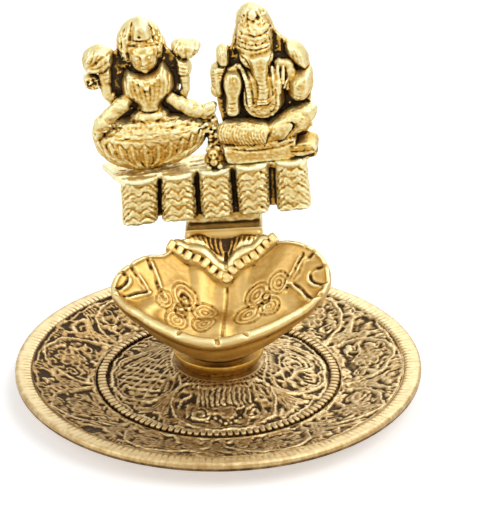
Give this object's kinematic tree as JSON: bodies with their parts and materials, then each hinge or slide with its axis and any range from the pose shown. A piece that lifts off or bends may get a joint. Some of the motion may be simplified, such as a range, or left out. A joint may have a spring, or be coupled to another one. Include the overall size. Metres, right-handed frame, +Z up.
{
  "type": "lakshmi ganesha oil lamp",
  "caption": "Cast metal oil lamp: cupped hands form the oil bowl on an embossed dish, with two seated deities on a throne behind it.",
  "frame": {"origin": "on the table, under the centre of the dish", "axes": "+Z up, -Y towards the front, where the fingertips point, +X to the right seen from the front"},
  "size_m": [0.152, 0.152, 0.1371],
  "materials": {
    "antique_gold": "cast aluminium with a gold finish, dark patina left in the recesses",
    "polished_gold": "cast aluminium with a brushed gold finish",
    "steel": "plain zinc-plated steel"
  },
  "bodies": {
    "dish": {"base_plate": "antique_gold", "bowl_washer": "steel"},
    "bowl": {"foot_collar": "antique_gold", "bowl_screw": "steel", "hands_bowl": "polished_gold", "figure_washer": "steel"},
    "figures": {"figure_screw": "steel", "throne": "antique_gold", "lakshmi": "antique_gold", "ganesha": "antique_gold", "mouse": "antique_gold"}
  },
  "joints": [
    {"name": "bowl_swivel", "type": "hinge", "parent": "dish", "child": "bowl", "pos_m": [0, 0, 0.0093], "axis": [0, 0, 1], "continuous": true},
    {"name": "figure_swivel", "type": "hinge", "parent": "bowl", "child": "figures", "pos_m": [0.0019, 0.0365, 0.0509], "axis": [-0.0576, 0, 0.9983], "continuous": true}
  ]
}
